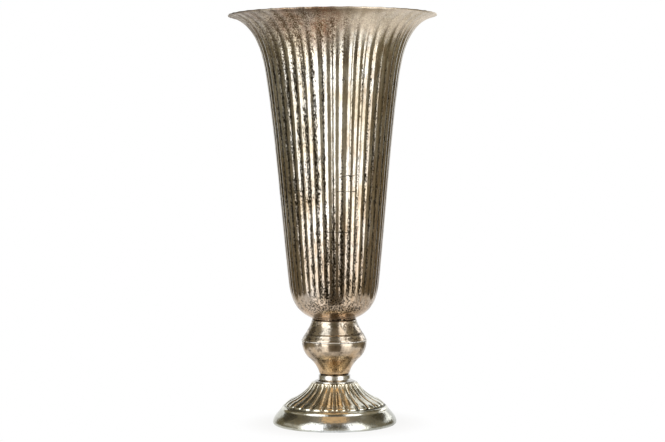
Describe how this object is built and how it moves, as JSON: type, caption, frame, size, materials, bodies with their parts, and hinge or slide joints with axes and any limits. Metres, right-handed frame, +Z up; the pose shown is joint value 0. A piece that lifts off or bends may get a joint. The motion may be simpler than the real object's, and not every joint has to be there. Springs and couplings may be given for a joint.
{
  "type": "goblet vase",
  "caption": "Tall goblet vase with a reeded trumpet bowl and flared lip on a turned knop stem, a collar and a fluted bell foot, clamped by a tie rod.",
  "frame": {"origin": "on the axis of the vase, at the table", "axes": "+Z up along the axis of the vase, -Y towards the front that the picture shows"},
  "size_m": [0.2088, 0.2088, 0.411],
  "materials": {
    "bowl_plate": "antiqued silver plate over brass sheet, speckled with dark oxide",
    "knop_plate": "polished antique silver plate over spun brass, warm where it is worn",
    "collar_plate": "bright silver plate over turned brass",
    "foot_plate": "polished antique silver plate over pressed brass, dark in the grooves",
    "zinc_steel": "bright zinc plate",
    "black_rubber": "moulded black rubber"
  },
  "bodies": {
    "root": {"bowl": "bowl_plate", "upper_knop": "knop_plate", "lower_knop": "knop_plate", "collar": "collar_plate", "foot": "foot_plate", "tie_rod": "zinc_steel", "bowl_nut": "zinc_steel", "bowl_washer": "zinc_steel", "bowl_seal": "black_rubber", "foot_washer": "zinc_steel", "foot_lock_washer": "zinc_steel", "foot_nut": "zinc_steel"}
  },
  "joints": []
}
